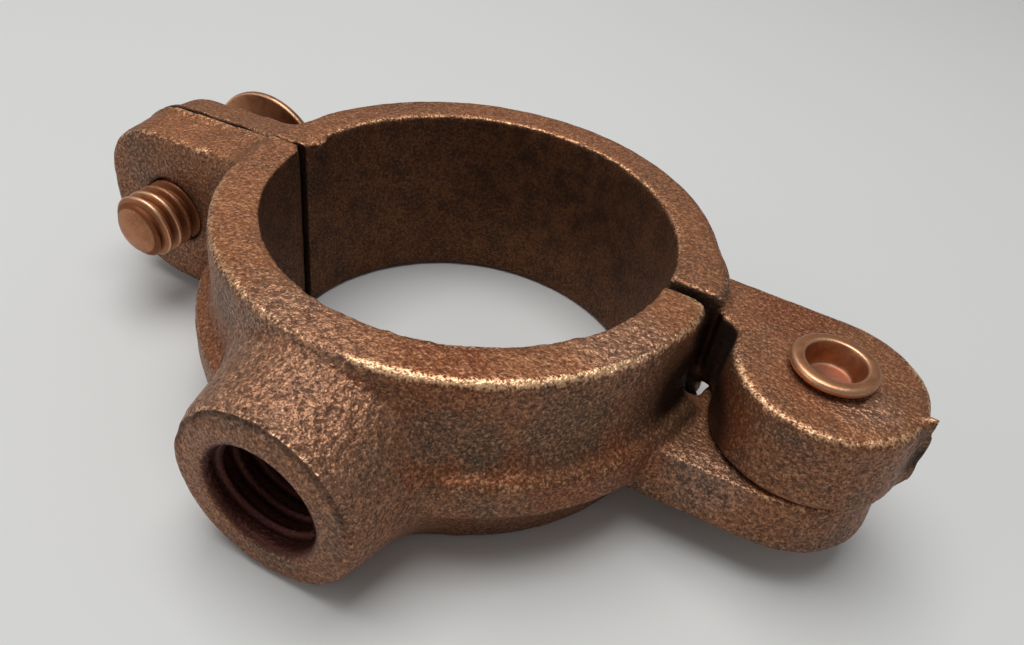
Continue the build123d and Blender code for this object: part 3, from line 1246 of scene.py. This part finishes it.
@dataclass
class RodThread:
    """The thread that is cut in the boss for the hanger rod."""

    mouth: float = -28.12
    inner_end: float = -18.4
    height: float = -1.0
    root_radius: float = 4.93
    crest_radius: float = 4.32
    pitch: float = 1.5875
    turns_less: float = 0.9
    fade_turns: float = 0.45
    least_crest: float = 0.04
    half_root: float = 0.36
    half_crest: float = 0.04
    steps: int = 72
    crest_worn: float = 0.05
    dirt_and_shade: float = 0.4

    def build(self, finish: CastCopper) -> Piece:
        """Builds the thread's ridge as one closed coil.

        Args:
            finish: the coating.

        Returns:
            The piece, riding with the socket half.
        """
        turns = (self.inner_end - self.mouth) / self.pitch - self.turns_less
        turn = np.arange(int(turns * self.steps) + 1) / self.steps
        fade = np.clip(np.minimum(turn, turns - turn) / self.fade_turns, self.least_crest, 1)
        crest = self.root_radius - (self.root_radius - self.crest_radius) * fade
        root = np.full_like(crest, self.root_radius)
        angle = turn * 2 * math.pi
        middle = self.mouth + (self.half_root + turn) * self.pitch
        section = [(-self.half_root, root), (-self.half_crest, crest),
                   (self.half_crest, crest), (self.half_root, root)]
        points = [np.stack([radius * np.cos(angle), middle + offset * self.pitch,
                            self.height + radius * np.sin(angle)], axis=1) for offset, radius in section]
        stacked = np.stack(points, axis=1).reshape(-1, 3)
        number = np.arange(len(stacked)).reshape(-1, len(section))
        following = np.roll(number, -1, axis=1)
        quads = np.stack([number[:-1], number[1:], following[1:], following[:-1]], axis=2).reshape(-1, 4)
        coil = Surface(stacked, np.vstack([quads, number[0], number[-1][::-1]]))
        full = np.ones(len(stacked))
        made = coil.piece("rod_hole_thread", finish.material(),
                          {Mask.EDGE: np.tile([0.0, self.crest_worn, self.crest_worn, 0.0], len(number)),
                           Mask.RECESS: full * self.dirt_and_shade, Mask.HOLE: full})
        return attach(made, "socket")


@dataclass
class Studio:
    """Pale floor, soft lamps and the camera at the photograph's angle. Lengths are in millimetres."""

    camera_at: Triple = (28.394, -55.625, 47.674)
    azimuth: float = 22.6696
    elevation: float = 38.8231
    roll: float = 8.825
    focal_pixels: float = 844.72
    photo_width: float = 1024.0
    sensor: float = 36.0
    floor_width: float = 6000.0
    floor_gap: float = 0.02
    world: Colour = (0.97, 0.98, 1.0)
    world_strength: float = 0.25
    key_at: Triple = (-60.0, 10.0, 430.0)
    key_width: float = 330.0
    key_power: float = 1.50
    fill_at: Triple = (-300.0, -270.0, 170.0)
    fill_width: float = 260.0
    fill_power: float = 0.22
    near: float = 5.0
    far: float = 20000.0

    def build(self) -> None:
        """Builds the camera, floor, lamps and world."""
        self.camera()
        self.floor()
        self.lamp("key", self.key_at, self.key_width, self.key_power)
        self.lamp("fill", self.fill_at, self.fill_width, self.fill_power)
        self.sky()
        bpy.context.scene.view_settings.view_transform = "Standard"

    def camera(self) -> None:
        """Sets the camera where the photograph was taken from."""
        a, e, r = (math.radians(angle) for angle in (self.azimuth, self.elevation, self.roll))
        back = Vector((math.sin(a) * math.cos(e), -math.cos(a) * math.cos(e), math.sin(e)))
        level = (-back).cross(Vector((0, 0, 1))).normalized()
        rise_up = level.cross(-back)
        right = level * math.cos(r) + rise_up * math.sin(r)
        up = rise_up * math.cos(r) - level * math.sin(r)
        data = bpy.data.cameras.new("camera")
        data.sensor_width = self.sensor
        data.lens = self.sensor * (self.focal_pixels / self.photo_width)
        data.clip_start = self.near * MM
        data.clip_end = self.far * MM
        camera = add_object("camera", data)
        turn = Matrix((right, up, back)).transposed().to_4x4()
        camera.matrix_world = Matrix.Translation(Vector(self.camera_at) * MM) @ turn
        bpy.context.scene.camera = camera

    def floor(self) -> None:
        """Lays the floor just under the ring."""
        level = CAD_BOX[0].z - self.floor_gap * MM
        half = self.floor_width / 2 * MM
        mesh = bpy.data.meshes.new("floor")
        corners = [(-half, -half, level), (half, -half, level), (half, half, level), (-half, half, level)]
        mesh.from_pydata(corners, [], [(0, 1, 2, 3)])
        mesh.materials.append(PaleFloor().material())
        floor = add_object("floor", mesh)

    def lamp(self, name: str, at: Triple, width: float, power: float) -> None:
        """Hangs a soft square lamp that looks at the ring.

        Args:
            name: the lamp's name.
            at: its place.
            width: its width.
            power: its power in watts.
        """
        data = bpy.data.lights.new(name, "AREA")
        data.size = width * MM
        data.energy = power
        lamp = add_object(name, data)
        place = Vector(at) * MM
        lamp.location = place
        lamp.rotation_mode = "QUATERNION"
        lamp.rotation_quaternion = (-place).to_track_quat("-Z", "Y")

    def sky(self) -> None:
        """Fills the room with even light."""
        world = bpy.data.worlds.new("room")
        world.use_nodes = True
        background = world.node_tree.nodes["Background"]
        background.inputs["Color"].default_value = (*self.world, 1.0)
        background.inputs["Strength"].default_value = self.world_strength
        bpy.context.scene.world = world


def main() -> None:
    """Builds every piece in order, then the studio."""
    logging.basicConfig(level=logging.INFO)
    cast = CastCopper()
    plated = FastenerCopper()
    pieces = [(SocketCasting(), cast), (ClampCasting(), cast), (RolledRivet(), plated),
              (ThreadedScrew(), plated), (RodThread(), cast)]
    for piece, finish in pieces:
        made = piece.build(finish)
        LOG.info("%s: %d faces", made.name, len(made.data.polygons))
    Studio().build()


if __name__ == "__main__":
    main()
